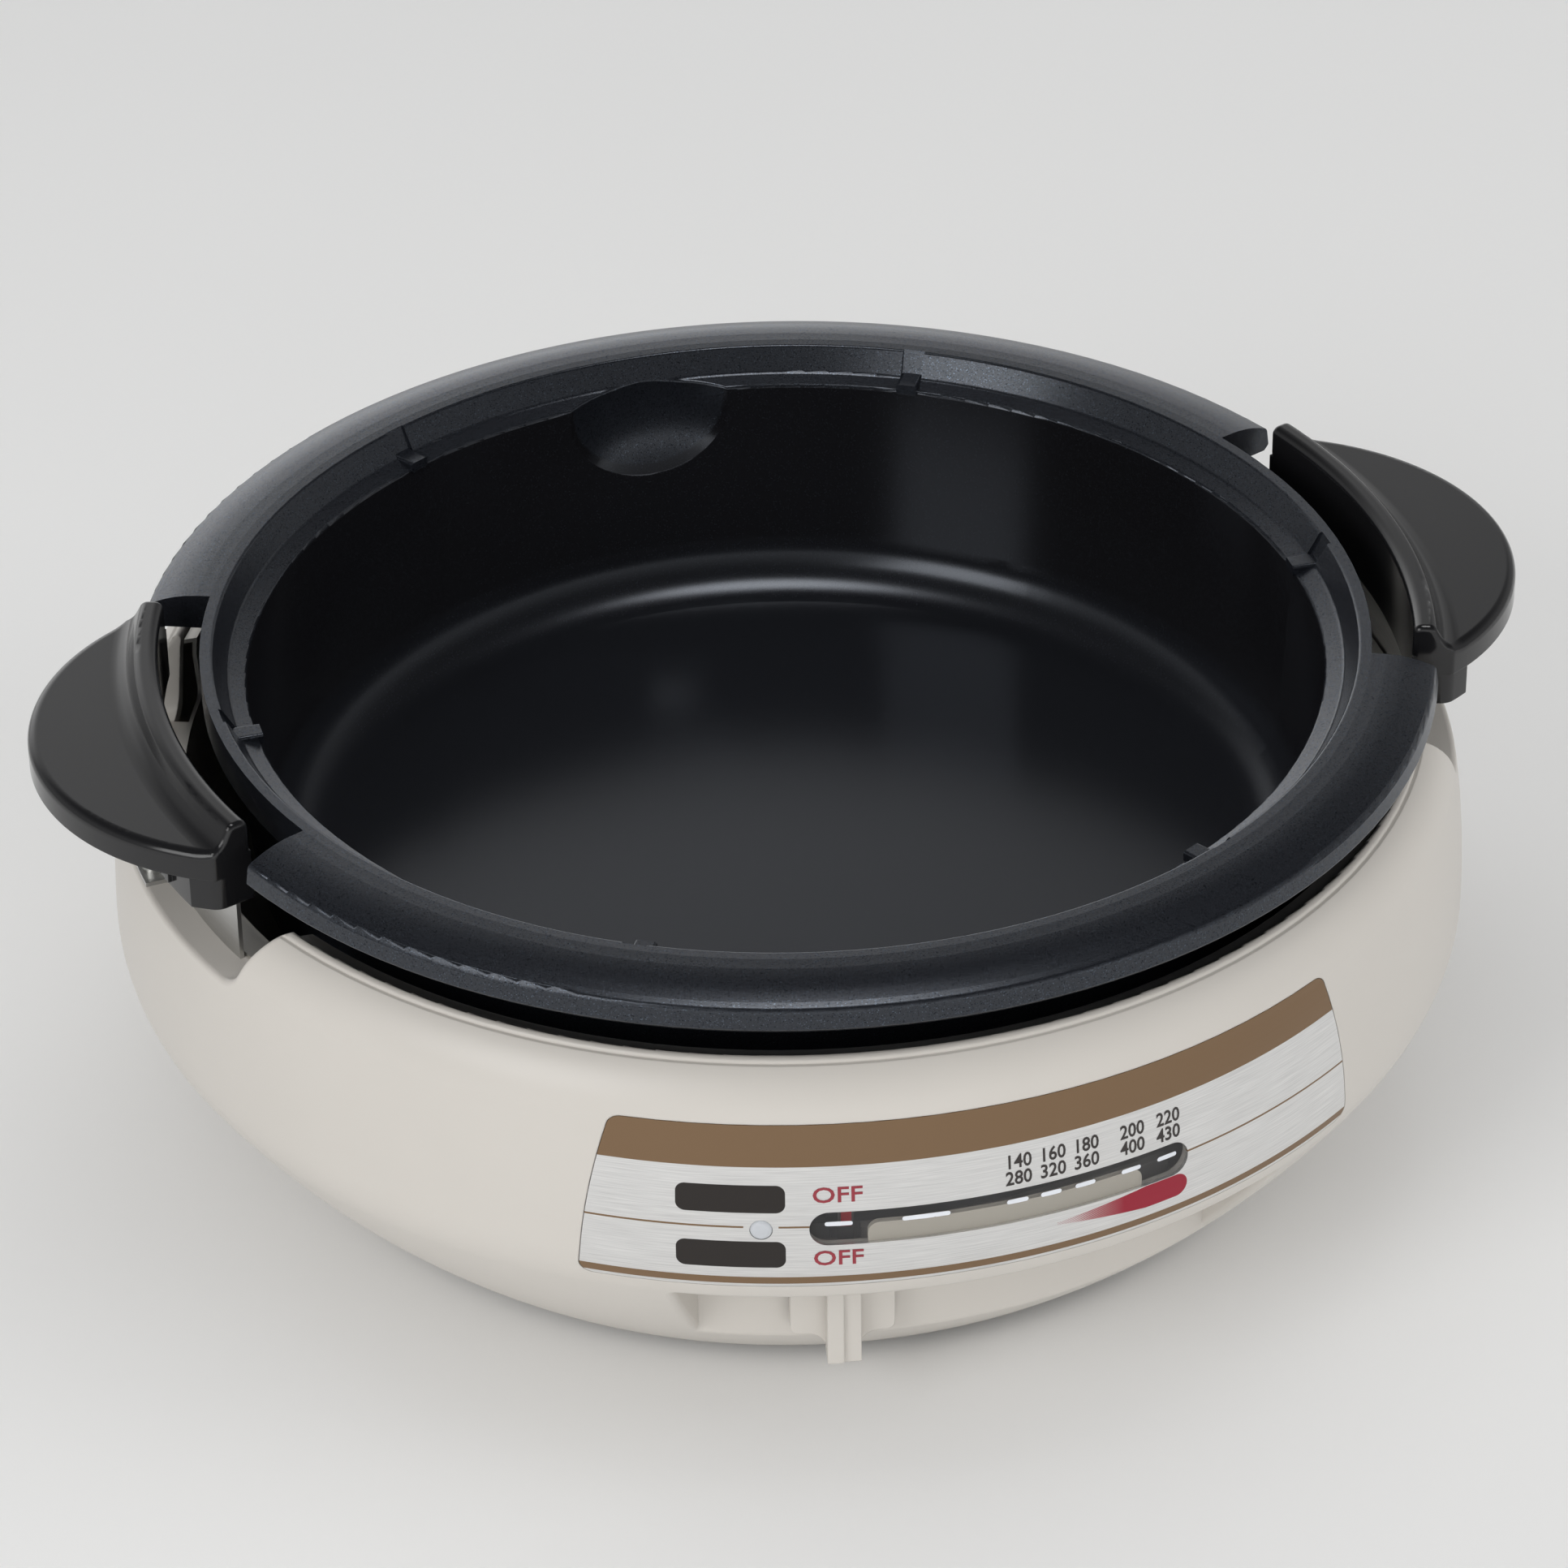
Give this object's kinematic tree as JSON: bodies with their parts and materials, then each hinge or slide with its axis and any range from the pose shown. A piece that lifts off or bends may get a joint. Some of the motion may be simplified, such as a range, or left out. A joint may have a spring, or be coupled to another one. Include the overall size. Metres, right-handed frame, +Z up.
{
  "type": "electric skillet",
  "caption": "Round electric skillet: deep non-stick pan with a broad cast rim in an off-white base, black grips at the sides, a lever thermostat with a scale panel, and a plug inlet.",
  "frame": {"origin": "middle of the base, on the table plane under the feet", "axes": "+Z up; -Y is the front with the panel and the lever; the two handles lie on the X axis, and the inlet is at +Y"},
  "size_m": [0.403, 0.362, 0.1405],
  "materials": {
    "pan_coating": "cast, dark non-stick coating with fine sparkle",
    "body_plastic": "satin off-white",
    "cover_plastic": "fine texture",
    "foot_rubber": "matte",
    "screw_steel": "zinc plated",
    "guard_steel": "bright, drawn",
    "post_plastic": "moulded resin",
    "reflector_aluminium": "bright",
    "element_steel": "heat-darkened sheath",
    "seal_ceramic": "unglazed ceramic",
    "clip_steel": "zinc plated sheet",
    "cap_aluminium": "satin",
    "spring_steel": "wire",
    "thermostat_resin": "moulded resin",
    "fuse_body": "glazed sleeve",
    "lead_white": "silicone sleeve",
    "lead_dark": "silicone sleeve",
    "lead_red": "silicone sleeve",
    "socket_plastic": "heat-proof resin",
    "pin_brass": "plain",
    "panel_face": "brushed sheet with printed scale",
    "window_smoke": "smoked",
    "lamp_lens": "frosted",
    "lamp_glass": "neon lamp",
    "pointer_red": "red",
    "handle_plastic": "glossy black"
  },
  "bodies": {
    "base": {"body_casing": "body_plastic", "base_plate": "cover_plastic", "rubber_feet": "foot_rubber", "casing_screws": "screw_steel", "pillar_screws": "screw_steel", "heat_guard": "guard_steel", "guard_pillars": "post_plastic", "guard_screws": "screw_steel", "reflector_plate": "reflector_aluminium", "heating_element": "element_steel", "element_seals": "seal_ceramic", "element_clips": "clip_steel", "sensor_housing": "clip_steel", "sensor_spring": "spring_steel", "thermostat_bracket": "clip_steel", "thermostat_body": "thermostat_resin", "thermostat_screws": "screw_steel", "thermal_fuse": "fuse_body", "fuse_clip": "clip_steel", "lead_neutral": "lead_white", "lead_live": "lead_dark", "lead_switched": "lead_red", "lead_fused": "lead_red", "lead_lamp": "lead_white", "inlet_socket": "socket_plastic", "inlet_pins": "pin_brass", "inlet_screws": "screw_steel", "control_panel": "panel_face", "slot_window": "window_smoke", "lamp_lens": "lamp_lens", "indicator_lamp": "lamp_glass", "pointer_guide": "body_plastic", "left_handle": "handle_plastic", "right_handle": "handle_plastic", "handle_brackets": "clip_steel", "handle_screws": "screw_steel", "bracket_screws": "screw_steel"},
    "pan": {"deep_pan": "pan_coating"},
    "lever": {"lever_arm": "clip_steel", "temperature_lever": "body_plastic", "lever_pointer": "pointer_red", "thermostat_spindle": "pin_brass"},
    "sensor": {"sensor_cap": "cap_aluminium"}
  },
  "joints": [
    {"name": "pan_lift", "type": "slide", "parent": "base", "child": "pan", "axis": [0, 0, 1], "range_m": [0, 0.15]},
    {"name": "lever_swing", "type": "hinge", "parent": "base", "child": "lever", "pos_m": [0, 0, 0.039], "axis": [0, 0, 1], "range_deg": [0, 26.8]},
    {"name": "sensor_press", "type": "slide", "parent": "base", "child": "sensor", "axis": [0, 0, 1], "range_m": [-0.003, 0], "stiffness_N_per_m": 800, "springref_m": 0.002, "deforming": ["sensor_spring"]}
  ]
}
